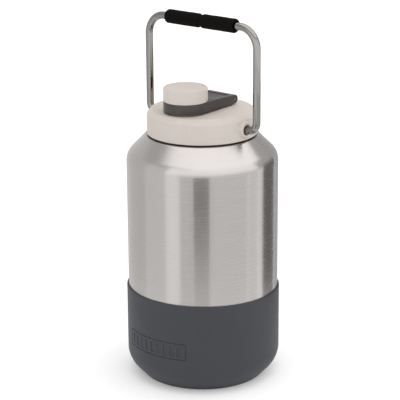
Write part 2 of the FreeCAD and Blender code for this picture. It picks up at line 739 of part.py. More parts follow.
def draw_strap_outline(plan, end):
    """Front arc of the ring, with both straight sides running back tangent to it."""
    radius = d.cap_radius.value
    half = d.barrel_reach
    arc = Part.ArcOfCircle(Part.Circle(Vector(), Vector(0, 0, 1), radius),
                           math.pi, 2 * math.pi)
    front = plan.addGeometry(arc, False)
    right = plan.addGeometry(Part.LineSegment(Vector(radius, 0, 0),
                                              Vector(half.value, end.value, 0)), False)
    back = plan.addGeometry(Part.LineSegment(Vector(half.value, end.value, 0),
                                             Vector(-half.value, end.value, 0)), False)
    left = plan.addGeometry(Part.LineSegment(Vector(-half.value, end.value, 0),
                                             Vector(-radius, 0, 0)), False)
    plan.addConstraint(Sketcher.Constraint("Tangent", front, 2, right, 1))
    plan.addConstraint(Sketcher.Constraint("Coincident", right, 2, back, 1))
    plan.addConstraint(Sketcher.Constraint("Coincident", back, 2, left, 1))
    plan.addConstraint(Sketcher.Constraint("Tangent", left, 2, front, 1))
    pin_point(plan, front, 3, ZERO, ZERO)
    hold(plan, "Radius", d.cap_radius, front)
    pin_point(plan, back, 1, half, end)
    pin_point(plan, back, 2, -half, end)


def cut_lug_slot(body, pin):
    """Opens the barrel's middle below and behind, so the strap can swing that far round."""
    gap, reach, swing = 0.4, 9.0, math.radians(120)
    half_width = d.lug_reach + gap
    strip = d.lug_radius + gap
    lean_out, lean_up = round(math.cos(swing), 3), round(math.sin(swing), 3)
    slot = new_sketch(body, "YZ_Plane", "lug_slot_sketch")
    draw_circle(slot, pin, d.pin_height, strip)
    extrude(body, "lug_slot", slot, half_width * 2, "PartDesign::Pocket", symmetric=True)
    fan = new_sketch(body, "YZ_Plane", "lug_fan_sketch")
    draw_polygon(fan, [
        (pin - strip, d.pin_height), (pin - strip, d.pin_height - reach),
        (pin + reach, d.pin_height - reach),
        (pin + strip * lean_out + reach * lean_up, d.pin_height + strip * lean_up
         - reach * lean_out),
        (pin + strip * lean_out, d.pin_height + strip * lean_up)])
    extrude(body, "lug_fan", fan, half_width * 2, "PartDesign::Pocket", symmetric=True)


def make_hinge_pin():
    """Steel pin pressed into the strap's barrel, just short of its ends."""
    sunk = 0.1
    body = new_body("hinge_pin")
    sketch = new_sketch(body, "YZ_Plane", "section_sketch")
    draw_circle(sketch, d.pin_distance, d.pin_height, d.pin_radius)
    extrude(body, "length", sketch, (d.barrel_reach - sunk) * 2, symmetric=True)
    shift_along_y(body, spout_line())


def make_cap():
    """Cap cover, threaded core that hangs in the strap's ring, its foam and its seal."""
    roof, crown_round, hem_round = 2.1, 1.8, 0.4
    ceiling = d.cap_top - roof
    inside = d.cap_radius - d.cap_wall
    cover = lathe("cap_cover", [
        (inside, d.cap_bottom), (d.cap_radius, d.cap_bottom), (d.cap_radius, d.cap_top),
        (ZERO, d.cap_top), (ZERO, ceiling), (inside, ceiling)], spout_line())
    round_rings(cover, "crown", crown_round, [(d.cap_radius, d.cap_top)])
    round_rings(cover, "hem", hem_round, [(d.cap_radius, d.cap_bottom)])

    web_rise, web_thickness, foot_rise, foot_height, groove_drop = 1.5, 2.0, 0.7, 1.2, 0.9
    web_bottom = d.spout_top + web_rise
    web_top = web_bottom + web_thickness
    foot = d.ring_bottom + foot_rise
    groove_bottom = foot + foot_height
    groove_top = d.ring_top - groove_drop
    core = lathe("cap_core", [
        (d.cap_core_bore, foot), (d.cap_core_radius, foot), (d.cap_core_radius, groove_bottom),
        (d.cap_groove_radius, groove_bottom), (d.cap_groove_radius, groove_top),
        (d.cap_core_radius, groove_top), (d.cap_core_radius, d.cap_bottom),
        (inside, d.cap_bottom), (inside, web_top), (ZERO, web_top), (ZERO, web_bottom),
        (d.cap_core_bore, web_bottom)], spout_line())
    thread_rise = 2.3
    wind_thread(core, "thread", d.cap_core_bore, d.cap_core_bore - d.cap_thread_depth,
                d.cap_bottom + thread_rise, d.cap_lead, d.cap_thread_turns, d.cap_thread_base,
                d.cap_thread_crest, side=-1)
    lathe("cap_insulation", [(ZERO, web_top), (inside, web_top), (inside, ceiling),
                             (ZERO, ceiling)], spout_line())

    seal_overlap, side_gap = 1.4, 1.1
    seal_bottom = d.spout_top + SEAL_GAP
    seal_inside, seal_outside = d.spout_bore - seal_overlap, d.cap_core_bore - side_gap
    lathe("cap_gasket", [(seal_inside, seal_bottom), (seal_outside, seal_bottom),
                         (seal_outside, web_bottom), (seal_inside, web_bottom)], spout_line())


make_outer_shell()
make_inner_vessel()
make_base()
make_boot()
make_skirt_ring()
make_lid_cover()
make_lid_inside()
make_spout()
make_rod()
make_grips()
make_strap()
make_hinge_pin()
make_cap()


# ---------------------------------------------------------------- checks and export
def check_and_export():
    os.makedirs("parts", exist_ok=True)
    doc.recompute()
    for item in doc.Objects:
        if "Invalid" in item.State or "Error" in item.State:
            raise RuntimeError("%s is %s" % (item.Name, item.State))
    pieces = [item for item in doc.Objects if item.TypeId == "PartDesign::Body"]
    for piece in pieces:
        shape = piece.Shape
        if shape.isNull() or not shape.isValid() or shape.Volume <= 0:
            raise RuntimeError("%s has no valid shape" % piece.Label)
        shape.exportStep("parts/%s.step" % piece.Label)
        print("%-16s %10.1f mm3  %d solid(s)" % (piece.Label, shape.Volume, len(shape.Solids)))


check_and_export()
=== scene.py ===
import math

import bmesh
import bpy
import numpy as np
from mathutils import Matrix, Vector


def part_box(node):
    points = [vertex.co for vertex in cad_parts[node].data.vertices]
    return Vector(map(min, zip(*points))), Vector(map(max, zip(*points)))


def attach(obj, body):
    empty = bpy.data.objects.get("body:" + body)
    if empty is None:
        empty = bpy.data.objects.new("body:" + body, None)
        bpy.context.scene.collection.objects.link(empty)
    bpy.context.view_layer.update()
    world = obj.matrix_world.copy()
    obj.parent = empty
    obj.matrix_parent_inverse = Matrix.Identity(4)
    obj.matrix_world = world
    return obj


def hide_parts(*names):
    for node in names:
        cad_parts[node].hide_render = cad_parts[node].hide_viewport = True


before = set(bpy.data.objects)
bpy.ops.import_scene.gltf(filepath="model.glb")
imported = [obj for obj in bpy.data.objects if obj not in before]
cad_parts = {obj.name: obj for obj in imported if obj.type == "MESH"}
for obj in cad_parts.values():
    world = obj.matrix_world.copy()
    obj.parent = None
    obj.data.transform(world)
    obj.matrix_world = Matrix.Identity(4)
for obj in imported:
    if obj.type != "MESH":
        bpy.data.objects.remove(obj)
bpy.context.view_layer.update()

MM = 0.001
TURN = 2 * math.pi
FRONT = -math.pi / 2          # the side that the spout and the boot's panel face
VIEW = 40.79                  # the camera's azimuth in degrees, from the front

# ------------------------------------------------------------------ sizes from the frame


def corners_mm(node):
    """Lowest and highest corner of a CAD node, in millimetres."""
    low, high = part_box(node)
    return low / MM, high / MM


shell_low, shell_high = corners_mm("outer_shell")
neck_high = corners_mm("neck")[1]
vessel_high = corners_mm("inner_vessel")[1]
throat_high = corners_mm("throat")[1]
base_low, base_high = corners_mm("shell_base")
disc_low, disc_high = corners_mm("base_disc")
boot_high = corners_mm("boot")[1]
skirt_low, skirt_high = corners_mm("skirt_ring")
lid_low, lid_high = corners_mm("lid_cover")
core_low, core_high = corners_mm("lid_core")
gasket_low, gasket_high = corners_mm("lid_gasket")
spout_low, spout_high = corners_mm("spout")
cap_low, cap_high = corners_mm("cap_cover")
cap_core_low, cap_core_high = corners_mm("cap_core")
cap_gasket_low, cap_gasket_high = corners_mm("cap_gasket")
pin_low, pin_high = corners_mm("hinge_pin")
rod_low, rod_high = corners_mm("handle_rod")
grip_low, grip_high = corners_mm("grip_right")

WALL = 0.8                                     # steel sheet
BODY_RADIUS = shell_high.x
BASE_RADIUS = 62.5                             # the steel's flat bottom
BASE = shell_low.z
HEEL, HEEL_ROUND = 19.1, 21.5                  # where the steel's heel meets its side
SHOULDER = 244.5
LEDGE_RADIUS = 60.2
LEDGE = skirt_low.z
NECK_RADIUS = 47.0
MOUTH_RADIUS = 44.6
RIM = throat_high.z
THREAD_START, LID_LEAD = 270.0, 8.0
THREAD_BASE, THREAD_CREST = 2.8, 1.4           # width of the lid's thread
BOOT_RADIUS = boot_high.x
BOOT_WINDOW = 40.0                             # the hole in the boot's floor
PANEL_LOW, PANEL_HIGH = 39.0, 57.6             # the boot's debossed panel
PANEL_HALF_ANGLE = 28.0
SKIRT_INNER = NECK_RADIUS + 1.8
LID_RADIUS = 58.4
LID_TOP = 293.0
BOSS_REACH = lid_high.x
ROD_RADIUS = rod_high.y
LEG_X = rod_high.x - ROD_RADIUS
BAR_Z = rod_high.z - ROD_RADIUS
PIVOT_Z = rod_low.z + ROD_RADIUS
SPOUT_Y = (cap_low.y + cap_high.y) / 2
CAP_RADIUS = cap_high.x
PIN_Y = (pin_low.y + pin_high.y) / 2
PIN_Z = (pin_low.z + pin_high.z) / 2
SPOUT_RADIUS = 15.9
CAP_LEAD = 3.0
CAP_BASE, CAP_CREST, CAP_DEPTH = 1.6, 0.7, 0.9  # section of the cap's thread
SOCKET_RADIUS = ROD_RADIUS + 0.08              # bore for a foot of the bail

# ------------------------------------------------------------------ outlines


def rounded(corners, step=7.0):
    """Turns (r, z) and (r, z, radius) corners into an outline with true arcs."""
    count = len(corners)
    points = []
    for i, corner in enumerate(corners):
        here = Vector(corner[:2])
        radius = corner[2] if len(corner) > 2 else 0.0
        if radius <= 0:
            points.append(here)
            continue
        back = (Vector(corners[i - 1][:2]) - here).normalized()
        ahead = (Vector(corners[(i + 1) % count][:2]) - here).normalized()
        opening = back.angle(ahead)
        reach = radius / math.tan(opening / 2)
        centre = here + (back + ahead).normalized() * radius / math.sin(opening / 2)
        start = here + back * reach - centre
        sweep = start.angle_signed(here + ahead * reach - centre)
        parts = max(2, math.ceil(abs(math.degrees(sweep)) / step))
        for k in range(parts + 1):
            points.append(centre + Matrix.Rotation(-sweep * k / parts, 2) @ start)
    return points


def divided(points, spacing, low=-1e9, high=1e9, closed=True):
    """Adds points so that steps between heights low and high are at most spacing."""
    ends = points[1:] + points[:1] if closed else points[1:]
    made = []
    for a, b in zip(points, ends):
        made.append(a)
        parts = math.ceil((b - a).length / spacing)
        for k in range(1, parts):
            p = a.lerp(b, k / parts)
            if low <= p.y <= high:
                made.append(p)
    return made if closed else made + [points[-1]]


def walled(points, wall):
    """Closes an open outline into a sheet of even thickness, on the outline's left."""
    inner = []
    for i, p in enumerate(points):
        a = points[max(0, i - 1)]
        b = points[min(len(points) - 1, i + 1)]
        run = (b - a).normalized()
        into, out = (p - a), (b - p)
        if into.length > 0 and out.length > 0:
            run = (into.normalized() + out.normalized()).normalized()
            stretch = 1 / max(0.5, run.dot(out.normalized()))
        else:
            stretch = 1.0
        inner.append(p + Vector((-run.y, run.x)) * wall * stretch)
    return points + inner[::-1]


def ease(low, high, value):
    """Smooth step from 0 at low to 1 at high, also for numpy arrays."""
    t = np.clip((value - low) / (high - low), 0, 1)
    return t * t * (3 - 2 * t)


# ------------------------------------------------------------------ meshes


def make_piece(name, verts, faces):
    """A new object from points in metres and faces, cleaned and shaded."""
    mesh = bpy.data.meshes.new(name)
    mesh.from_pydata([tuple(v) for v in verts], [], faces)
    piece = bpy.data.objects.new(name, mesh)
    bpy.context.scene.collection.objects.link(piece)
    tidy_mesh(mesh)
    return piece


def tidy_mesh(mesh, sharp=40.0):
    """Welds doubled points, turns the faces outwards and shades by angle."""
    bm = bmesh.new()
    bm.from_mesh(mesh)
    bmesh.ops.remove_doubles(bm, verts=bm.verts, dist=1e-6)
    bmesh.ops.dissolve_degenerate(bm, edges=bm.edges, dist=1e-7)
    bmesh.ops.recalc_face_normals(bm, faces=bm.faces)
    bm.to_mesh(mesh)
    bm.free()
    mesh.shade_smooth()
    mesh.set_sharp_from_angle(angle=math.radians(sharp))


def even_angles(count=192):
    return np.arange(count) * TURN / count


def dense_angles(spans, step, count=192):
    """Even angles, with finer steps inside the (middle, half width) spans."""
    angles = list(even_angles(count))
    for middle, half in spans:
        fine = max(2, math.ceil(2 * half / step))
        angles += [middle - half + 2 * half * k / fine for k in range(fine + 1)]
    unique = []
    for angle in sorted(a % TURN for a in angles):
        if not unique or angle - unique[-1] > step * 0.45:
            unique.append(angle)
    return np.array(unique)


def spread(outline, angles):
    """Angle, radius and height of every point of an outline turned through the angles."""
    outline = np.array([tuple(p) for p in outline])
    angle, r = np.meshgrid(angles, outline[:, 0])
    z = np.meshgrid(angles, outline[:, 1])[1]
    return angle, r, z


def ring_surface(name, points):
    """Closed mesh from a grid of points in mm: outline down, angles across."""
    rows, columns = points.shape[:2]
    faces = []
    for i in range(rows):
        a, b = i * columns, ((i + 1) % rows) * columns
        for j in range(columns):
            k = (j + 1) % columns
            faces.append((a + j, a + k, b + k, b + j))
    return make_piece(name, points.reshape(-1, 3) * MM, faces)


def turned(name, outline, centre_y=0.0, angles=None, form=None, along="z"):
    """Solid of revolution from a closed outline of (radius, height) in millimetres.

    form(angle, r, z) returns the moved (r, z) of every point. along="x" lays the axis on X.
    """
    angle, r, z = spread(outline, even_angles() if angles is None else angles)
    if form is not None:
        r, z = form(angle, r, z)
    if along == "x":
        points = np.stack([z, r * np.cos(angle), r * np.sin(angle)], -1)
    else:
        points = np.stack([r * np.cos(angle), r * np.sin(angle) + centre_y, z], -1)
    return ring_surface(name, points)


def moved(piece, y, z):
    """Shifts a piece's mesh, in millimetres."""
    piece.data.transform(Matrix.Translation((0, y * MM, z * MM)))
    return piece


def thread_ridge(angle, z, start, lead, turns, base, crest, depth, offset=0.0):
    """Height of a right-hand screw thread over its root, with both ends run out."""
    ridge = np.zeros_like(z)
    run_out = 0.06
    for lap in range(-1, math.ceil(turns) + 1):
        progress = (angle - offset) / TURN + lap
        distance = np.abs(z - start - lead * progress)
        flank = np.clip((base / 2 - distance) / ((base - crest) / 2), 0, 1)
        ends = ease(0, run_out, progress) * ease(0, run_out, turns - progress)
        ridge = np.maximum(ridge, flank * ends * depth)
    return ridge


def apply_modifiers(piece):
    """Gives a piece the mesh that its modifiers make, and removes them."""
    graph = bpy.context.evaluated_depsgraph_get()
    mesh = bpy.data.meshes.new_from_object(piece.evaluated_get(graph))
    piece.modifiers.clear()
    old = piece.data
    piece.data = mesh
    bpy.data.meshes.remove(old)
    mesh.name = piece.name


def cut(piece, cutter, how="DIFFERENCE"):
    """Applies one boolean and removes the cutter."""
    modifier = piece.modifiers.new("cut", "BOOLEAN")
    modifier.operation = how
    modifier.solver = "EXACT"
    modifier.object = cutter
    apply_modifiers(piece)
    bpy.data.objects.remove(cutter)


def extruded(name, outline, low_x, high_x, bevel):
    """Prism along X from a (y, z) outline in millimetres, with bevelled edges."""
    count = len(outline)
    verts = [Vector((x, p[0], p[1])) * MM for x in (low_x, high_x) for p in outline]
    faces = [tuple(range(count)), tuple(range(2 * count - 1, count - 1, -1))]
    faces += [(i, i + count, (i + 1) % count + count, (i + 1) % count) for i in range(count)]
    piece = make_piece(name, verts, faces)
    soften(piece, bevel, 30)
    return piece


def soften(piece, width, limit):
    """Rounds every edge sharper than limit degrees."""
    modifier = piece.modifiers.new("edges", "BEVEL")
    modifier.width = width * MM
    modifier.segments = 3
    modifier.limit_method = "ANGLE"
    modifier.angle_limit = math.radians(limit)
    modifier.use_clamp_overlap = True
    modifier.harden_normals = False
    apply_modifiers(piece)
    piece.data.shade_smooth()
    piece.data.set_sharp_from_angle(angle=math.radians(40))


def tube(name, path, radius, sides=40):
    """Solid round bar along a path that lies in the XZ plane, with softened ends."""
    verts = []
    rings = []
    count = len(path)
    for i, p in enumerate(path):
        run = (path[min(i + 1, count - 1)] - path[max(i - 1, 0)]).normalized()
        side = Vector((-run.z, 0, run.x))
        edge = 0.4 if i in (0, count - 1) else 0.0
        rings.append(len(verts))
        for k in range(sides):
            a = TURN * k / sides
            offset = side * math.cos(a) + Vector((0, 1, 0)) * math.sin(a)
            verts.append((p + offset * (radius - edge)) * MM)
    faces = []
    for i in range(count - 1):
        a, b = rings[i], rings[i + 1]
        faces += [(a + k, a + (k + 1) % sides, b + (k + 1) % sides, b + k)
                  for k in range(sides)]
    faces.append(tuple(range(rings[0], rings[0] + sides)))
    faces.append(tuple(range(rings[-1] + sides - 1, rings[-1] - 1, -1)))
    return make_piece(name, verts, faces)


# ------------------------------------------------------------------ materials


def node_tree(name):
    """A new material, its node tree and its main shader."""
    material = bpy.data.materials.new(name)
    material.use_nodes = True
    tree = material.node_tree
    shader = tree.nodes["Principled BSDF"]
    return material, tree, shader


def add_node(tree, kind, **values):
    """Adds a node. Values are its properties, or its inputs by name with _ for a space."""
    node = tree.nodes.new(kind)
    for key, value in values.items():
        if hasattr(node, key):
            setattr(node, key, value)
        else:
            node.inputs[key.replace("_", " ")].default_value = value
    return node


def stretched_noise(tree, scale_xyz, detail=4.0, roughness=0.6):
    """Noise over the object's own coordinates, scaled by a different amount each way."""
    place = add_node(tree, "ShaderNodeTexCoord")
    mapping = add_node(tree, "ShaderNodeMapping", Scale=scale_xyz)
    noise = add_node(tree, "ShaderNodeTexNoise", Scale=1.0, Detail=detail,
                     Roughness=roughness)
    tree.links.new(place.outputs["Object"], mapping.inputs["Vector"])
    tree.links.new(mapping.outputs["Vector"], noise.inputs["Vector"])
    return noise.outputs["Fac"]


def ranged(tree, value, low, high, from_low=0.3, from_high=0.7):
    """Maps a noise value to a range."""
    node = add_node(tree, "ShaderNodeMapRange", From_Min=from_low, From_Max=from_high,
                    To_Min=low, To_Max=high)
    tree.links.new(value, node.inputs["Value"])
    return node.outputs["Result"]


def tinted(tree, value, dark, light):
    """Mixes two colours by a noise value."""
    ramp = add_node(tree, "ShaderNodeValToRGB")
    ramp.color_ramp.elements[0].position = 0.3
    ramp.color_ramp.elements[0].color = (*dark, 1)
    ramp.color_ramp.elements[1].position = 0.7
    ramp.color_ramp.elements[1].color = (*light, 1)
    tree.links.new(value, ramp.inputs["Fac"])
    return ramp.outputs["Color"]


def bumped(tree, shader, value, strength, distance_mm):
    """Turns a noise value into small relief on the shader's normal."""
    bump = add_node(tree, "ShaderNodeBump", Strength=strength, Distance=distance_mm * MM)
    tree.links.new(value, bump.inputs["Height"])
    tree.links.new(bump.outputs["Normal"], shader.inputs["Normal"])


def scaled(colour, factor):
    """A lighter or darker version of a colour."""
    return tuple(min(1.0, c * factor) for c in colour)


def srgb(red, green, blue):
    """Linear colour from 0 to 255 display values."""
    def linear(c):
        c /= 255
        return c / 12.92 if c <= 0.04045 else ((c + 0.055) / 1.055) ** 2.4
    return tuple(linear(c) for c in (red, green, blue))


def brushed_steel(name, colour, roughness, along, grain=900.0, anisotropy=0.6, marks=1.0):
    """Steel with fine scratches running round the axis named by along."""
    material, tree, shader = node_tree(name)
    shader.inputs["Metallic"].default_value = 1.0
    shader.inputs["Anisotropic"].default_value = anisotropy
    shader.inputs["Anisotropic Rotation"].default_value = 0.25
    slow, fast = 18.0, grain * 4
    across = {"z": (slow, slow, fast), "x": (fast, slow, slow), "rod": (grain, fast, grain)}[along]
    scratches = stretched_noise(tree, across, detail=6.0, roughness=0.7)
    broad = stretched_noise(tree, (9.0, 9.0, 14.0), detail=2.0)
    tree.links.new(tinted(tree, scratches, scaled(colour, 1 - 0.07 * marks),
                          scaled(colour, 1 + 0.05 * marks)), shader.inputs["Base Color"])
    mixed = add_node(tree, "ShaderNodeMath", operation="ADD")
    tree.links.new(ranged(tree, scratches, roughness - 0.05 * marks, roughness + 0.06 * marks),
                   mixed.inputs[0])
    tree.links.new(ranged(tree, broad, -0.015, 0.015), mixed.inputs[1])
    tree.links.new(mixed.outputs[0], shader.inputs["Roughness"])
    bumped(tree, shader, scratches, 0.06 * marks, 0.02)
    tangent = add_node(tree, "ShaderNodeTangent", direction_type="RADIAL",
                       axis="X" if along == "x" else "Z")
    tree.links.new(tangent.outputs["Tangent"], shader.inputs["Tangent"])
    return material


def moulded(name, colour, roughness=0.45, texture=0.05, sheen=0.0, mottle=0.03,
            grain=1400.0, specular=0.5):
    """Moulded plastic or rubber with a fine matt texture."""
    material, tree, shader = node_tree(name)
    fine = stretched_noise(tree, (grain, grain, grain), detail=3.0)
    broad = stretched_noise(tree, (35.0, 35.0, 35.0), detail=3.0)
    tree.links.new(tinted(tree, broad, scaled(colour, 1 - mottle), scaled(colour, 1 + mottle)),
                   shader.inputs["Base Color"])
    tree.links.new(ranged(tree, fine, roughness - 0.06, roughness + 0.06),
                   shader.inputs["Roughness"])
    shader.inputs["Specular IOR Level"].default_value = specular
    if sheen:
        shader.inputs["Sheen Weight"].default_value = sheen
        shader.inputs["Sheen Roughness"].default_value = 0.45
    bumped(tree, shader, fine, texture, 0.1)
    return material


def foamed(name, colour, cell_mm=0.55, strength=0.5):
    """Closed-cell foam: small round cells in a matt skin."""
    material, tree, shader = node_tree(name)
    place = add_node(tree, "ShaderNodeTexCoord")
    cells = add_node(tree, "ShaderNodeTexVoronoi")
    cells.inputs["Scale"].default_value = 1.0 / (cell_mm * MM)
    tree.links.new(place.outputs["Object"], cells.inputs["Vector"])
    height = ranged(tree, cells.outputs["Distance"], 0.0, 1.0, 0.1, 0.75)
    # The colour follows the cells' relief: darker in the sunken hollows as painted shade, lighter
    # on the raised rims as painted light.
    tree.links.new(tinted(tree, cells.outputs["Distance"], scaled(colour, 0.8),
                          scaled(colour, 1.5)), shader.inputs["Base Color"])
    tree.links.new(ranged(tree, height, 0.85, 0.7, 0.0, 1.0), shader.inputs["Roughness"])
    shader.inputs["Specular IOR Level"].default_value = 0.05
    bumped(tree, shader, height, strength, 0.2)
    return material


STEEL = brushed_steel("brushed_steel_body", (0.505, 0.481, 0.468), 0.25, "z", 900.0, 0.85, 0.7)
PLAIN_STEEL = brushed_steel("plain_steel_inside", (0.55, 0.54, 0.53), 0.36, "z", 500.0, 0.3)
# The bail's wire is set much darker than the body's steel: painted shade for the dark surroundings
# that the wire reflects.
ROD_STEEL = brushed_steel("handle_steel", (0.29, 0.279, 0.27), 0.11, "rod", 60.0, 0.0, 0.3)
PIN_STEEL = brushed_steel("pin_steel", (0.42, 0.42, 0.42), 0.35, "x", 500.0, 0.1)
GETTER = brushed_steel("getter_metal", (0.3, 0.3, 0.31), 0.6, "z", 700.0, 0.0)
BOOT_RUBBER = moulded("boot_rubber", srgb(58, 59, 65), 0.6, 0.10, 0.04, 0.03, 1500.0, 0.35)
BLACK_RUBBER = moulded("black_rubber", srgb(9, 9, 9), 0.6, 0.06, 0.0, 0.03, 1400.0, 0.3)
SEAL_RUBBER = moulded("seal_rubber", srgb(205, 203, 198), 0.5, 0.04)
LID_PLASTIC = moulded("lid_plastic", srgb(208, 199, 191), 0.44, 0.06, 0.0, 0.012, 1400.0, 0.32)
CORE_PLASTIC = moulded("core_plastic", srgb(190, 186, 180), 0.35, 0.03, 0.0, 0.01)
STRAP_PLASTIC = moulded("strap_plastic", srgb(59, 53, 50), 0.36, 0.08, 0.0, 0.03, 1400.0, 0.5)
GRIP_FOAM = foamed("grip_foam", (0.0042, 0.0034, 0.003))
WHITE_FOAM = foamed("white_foam", srgb(235, 233, 226), 1.2, 0.3)
GLASS_BEAD = moulded("seal_glass", srgb(140, 150, 146), 0.12, 0.0, 0.0, 0.05)


def dress(piece, material, body, replaces):
    """Gives a piece its material and its body, and hides the nodes that it replaces."""
    piece.data.materials.clear()
    piece.data.materials.append(material)
    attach(piece, body)
    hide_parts(*replaces)


def dress_node(node, material):
    """A better material for a CAD node that stays."""
    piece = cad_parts[node]
    piece.data.materials.clear()
    piece.data.materials.append(material)


# ------------------------------------------------------------------ bottle


def make_shell():
    """Outer wall, shoulder, ledge and neck in one sheet, with the neck's thread."""
    side = rounded([(BASE_RADIUS, BASE), (BODY_RADIUS, HEEL, HEEL_ROUND),
                    (BODY_RADIUS, SHOULDER, 18.0), (LEDGE_RADIUS, LEDGE, 3.0),
                    (NECK_RADIUS, LEDGE, 1.2), (NECK_RADIUS, neck_high.z)], 3.0)
    outline = walled(divided(side, 0.35, LEDGE + 2, RIM, closed=False), WALL)
    laps, depth = 1.25, 1.4

    def neck_thread(angle, r, z):
        ridge = thread_ridge(angle, z, THREAD_START, LID_LEAD, laps, THREAD_BASE,
                             THREAD_CREST, depth)
        return np.where(np.abs(r - NECK_RADIUS) < 0.1, r + ridge, r), z

    piece = turned("steel_shell", outline, angles=even_angles(256), form=neck_thread)
    dress(piece, STEEL, "bottle", ["outer_shell", "neck"])


def make_vessel():
    """The liner and the mouth's tube in one sheet, with the lip over the neck's edge."""
    radius = vessel_high.x - WALL
    bottom, shoulder, roof, roof_radius = 12.0, 241.9, 259.0, 57.6
    inside = rounded([(0.0, bottom), (radius, bottom, 19.2), (radius, shoulder, 11.7),
                      (roof_radius, roof, 2.2), (MOUTH_RADIUS, roof, 3.0),
                      (MOUTH_RADIUS, RIM, 1.0), (NECK_RADIUS, RIM)], 5.0)
    outline = walled(inside[::-1], WALL)
    piece = turned("steel_liner", outline)
    dress(piece, PLAIN_STEEL, "bottle", ["inner_vessel", "throat"])


def make_base():
    """The dished bottom plate, and the thin cover disc that is seen from below."""
    low, top = base_low.z, base_high.z
    port = 2.0                                 # radius of the evacuation port
    dish = rounded([(port, top - WALL), (50.0, top - WALL, 1.2), (53.2, low, 1.2),
                    (base_high.x, low)])
    dress(turned("base_plate", walled(dish, WALL)), PLAIN_STEEL, "bottle",
          ["shell_base"])
    face, edge, sheet = disc_low.z, disc_high.x, 0.6
    step = face + 0.25
    disc = rounded([(0.0, face), (38.0, face, 2.0), (39.0, step, 2.0), (edge, step, 0.5),
                    (edge, disc_high.z), (edge - sheet, disc_high.z),
                    (edge - sheet, step + sheet), (0.0, face + sheet)])
    dress(turned("base_cover_disc", disc), PLAIN_STEEL, "bottle", ["base_disc"])


def panel_depth(angle, z):
    """Depth of the boot's debossed panel: an outline with a row of slots in it."""
    depth, soft, half_line = 0.6, 0.14, 0.5
    across = ((angle - FRONT + math.pi) % TURN - math.pi) * BOOT_RADIUS
    up = z - (PANEL_LOW + PANEL_HIGH) / 2

    def inside(half_x, half_z, corner, x, y):
        """Signed distance to a rounded rectangle."""
        dx, dy = np.abs(x) - half_x + corner, np.abs(y) - half_z + corner
        outer = np.hypot(np.maximum(dx, 0), np.maximum(dy, 0))
        return outer + np.minimum(np.maximum(dx, dy), 0) - corner

    half_width = math.radians(PANEL_HALF_ANGLE) * BOOT_RADIUS - half_line
    half_height = (PANEL_HIGH - PANEL_LOW) / 2 - half_line
    border = np.abs(inside(half_width, half_height, 2.0, across, up)) - half_line
    pitch = math.radians(5.6) * BOOT_RADIUS
    nearest = np.clip(np.round(across / pitch), -4, 4) * pitch
    half_slot_width, half_slot_height = 2.3, 5.7
    slots = inside(half_slot_width, half_slot_height, 1.0, across - nearest, up)
    shape = np.minimum(border, slots)
    return depth * (1 - ease(-soft, soft / 2, shape))


def sag(angle, z):
    """Rise of the boot's upper edge, which isn't pulled up evenly all round."""
    highest, rise, from_height = FRONT + math.radians(VIEW - 38.4), 1.53, 62.0
    return rise * np.cos(angle - highest) * ease(from_height, boot_high.z, z)


def make_boot():
    """The rubber boot: a cup with a window in its floor and the debossed panel."""
    top, foot_radius = boot_high.z, 66.0
    inside = BODY_RADIUS + 0.05
    outline = rounded([(BOOT_WINDOW, 0.0, 0.8), (foot_radius, 0.0, 2.0),
                       (BOOT_RADIUS, 18.0, 26.0), (BOOT_RADIUS, top, 0.9),
                       (inside, top, 0.3), (inside, HEEL, HEEL_ROUND),
                       (BASE_RADIUS, BASE, 1.0), (BOOT_WINDOW, BASE, 0.4)], 4.0)
    outline = divided(outline, 0.3, PANEL_LOW - 1, PANEL_HIGH + 1)
    panel_span = (FRONT % TURN, math.radians(PANEL_HALF_ANGLE + 1.5))
    angles = dense_angles([panel_span], math.radians(0.2), 220)

    def deboss(angle, r, z):
        return np.where(r > BOOT_RADIUS - 0.2, r - panel_depth(angle, z), r), z + sag(angle, z)

    piece = turned("rubber_boot", outline, angles=angles, form=deboss)
    dress(piece, BOOT_RUBBER, "bottle", ["boot"])


# A black ring in the gap under the lid's skirt, read as rubber; its black also stands in for the
# shade in that gap, giving the dark line under the lid.
def make_skirt_ring():
    low, high, edge = skirt_low.z, skirt_high.z, skirt_high.x
    outline = rounded([(SKIRT_INNER, low), (edge, low), (edge, high, 0.5),
                       (SKIRT_INNER, high, 0.4)])
    dress(turned("rubber_skirt_ring", outline), BLACK_RUBBER, "bottle",
          ["skirt_ring"])


# ------------------------------------------------------------------ lid


def lid_shell():
    """The lid's cover with its eight grooves and the two bosses that the bail turns in."""
    inside = LID_RADIUS - 2.8
    ceiling = LID_TOP - 3.0
    side_top, top_radius = 287.9, 53.6         # a slope joins the side to the flat top
    outline = rounded([(inside, lid_low.z, 0.3), (LID_RADIUS, lid_low.z, 0.8),
                       (LID_RADIUS, side_top, 3.0), (top_radius, LID_TOP, 3.0),
                       (0.0, LID_TOP), (0.0, ceiling), (inside, ceiling, 1.0)], 6.0)
    outline = divided(outline, 0.4, lid_low.z + 0.9, side_top + 1.1)
    grooves = [math.radians(22.5 + 45 * k) for k in range(8)]
    groove_floor = LID_RADIUS - 0.35
    groove_flat, groove_edge = 1.7, 2.6        # half widths of a groove
    boss_flat, boss_foot = 7.6, 9.4            # radii of a boss
    boss_half_angle = math.radians(12.5)
    spans = [(g, math.radians(3.0)) for g in grooves]
    spans += [(0.0, boss_half_angle), (math.pi, boss_half_angle)]
    angle, r, z = spread(outline, dense_angles(spans, math.radians(0.32), 192))
    outer = (r > inside + 0.5) & (z < LID_TOP - 1)
    for g in grooves:
        away = np.abs((angle - g + math.pi) % TURN - math.pi) * LID_RADIUS
        depth = 1 - ease(groove_flat, groove_edge, away)
        r = np.where(outer, r - depth * np.maximum(0, r - groove_floor), r)
    x, y = r * np.cos(angle), r * np.sin(angle)
    from_pivot = np.hypot(y, z - PIVOT_Z)
    raised = (1 - ease(boss_flat, boss_foot, from_pivot)) * outer
    x = x + np.sign(x) * raised * (BOSS_REACH - np.abs(x))
    return ring_surface("lid_shell", np.stack([x, y, z], -1))


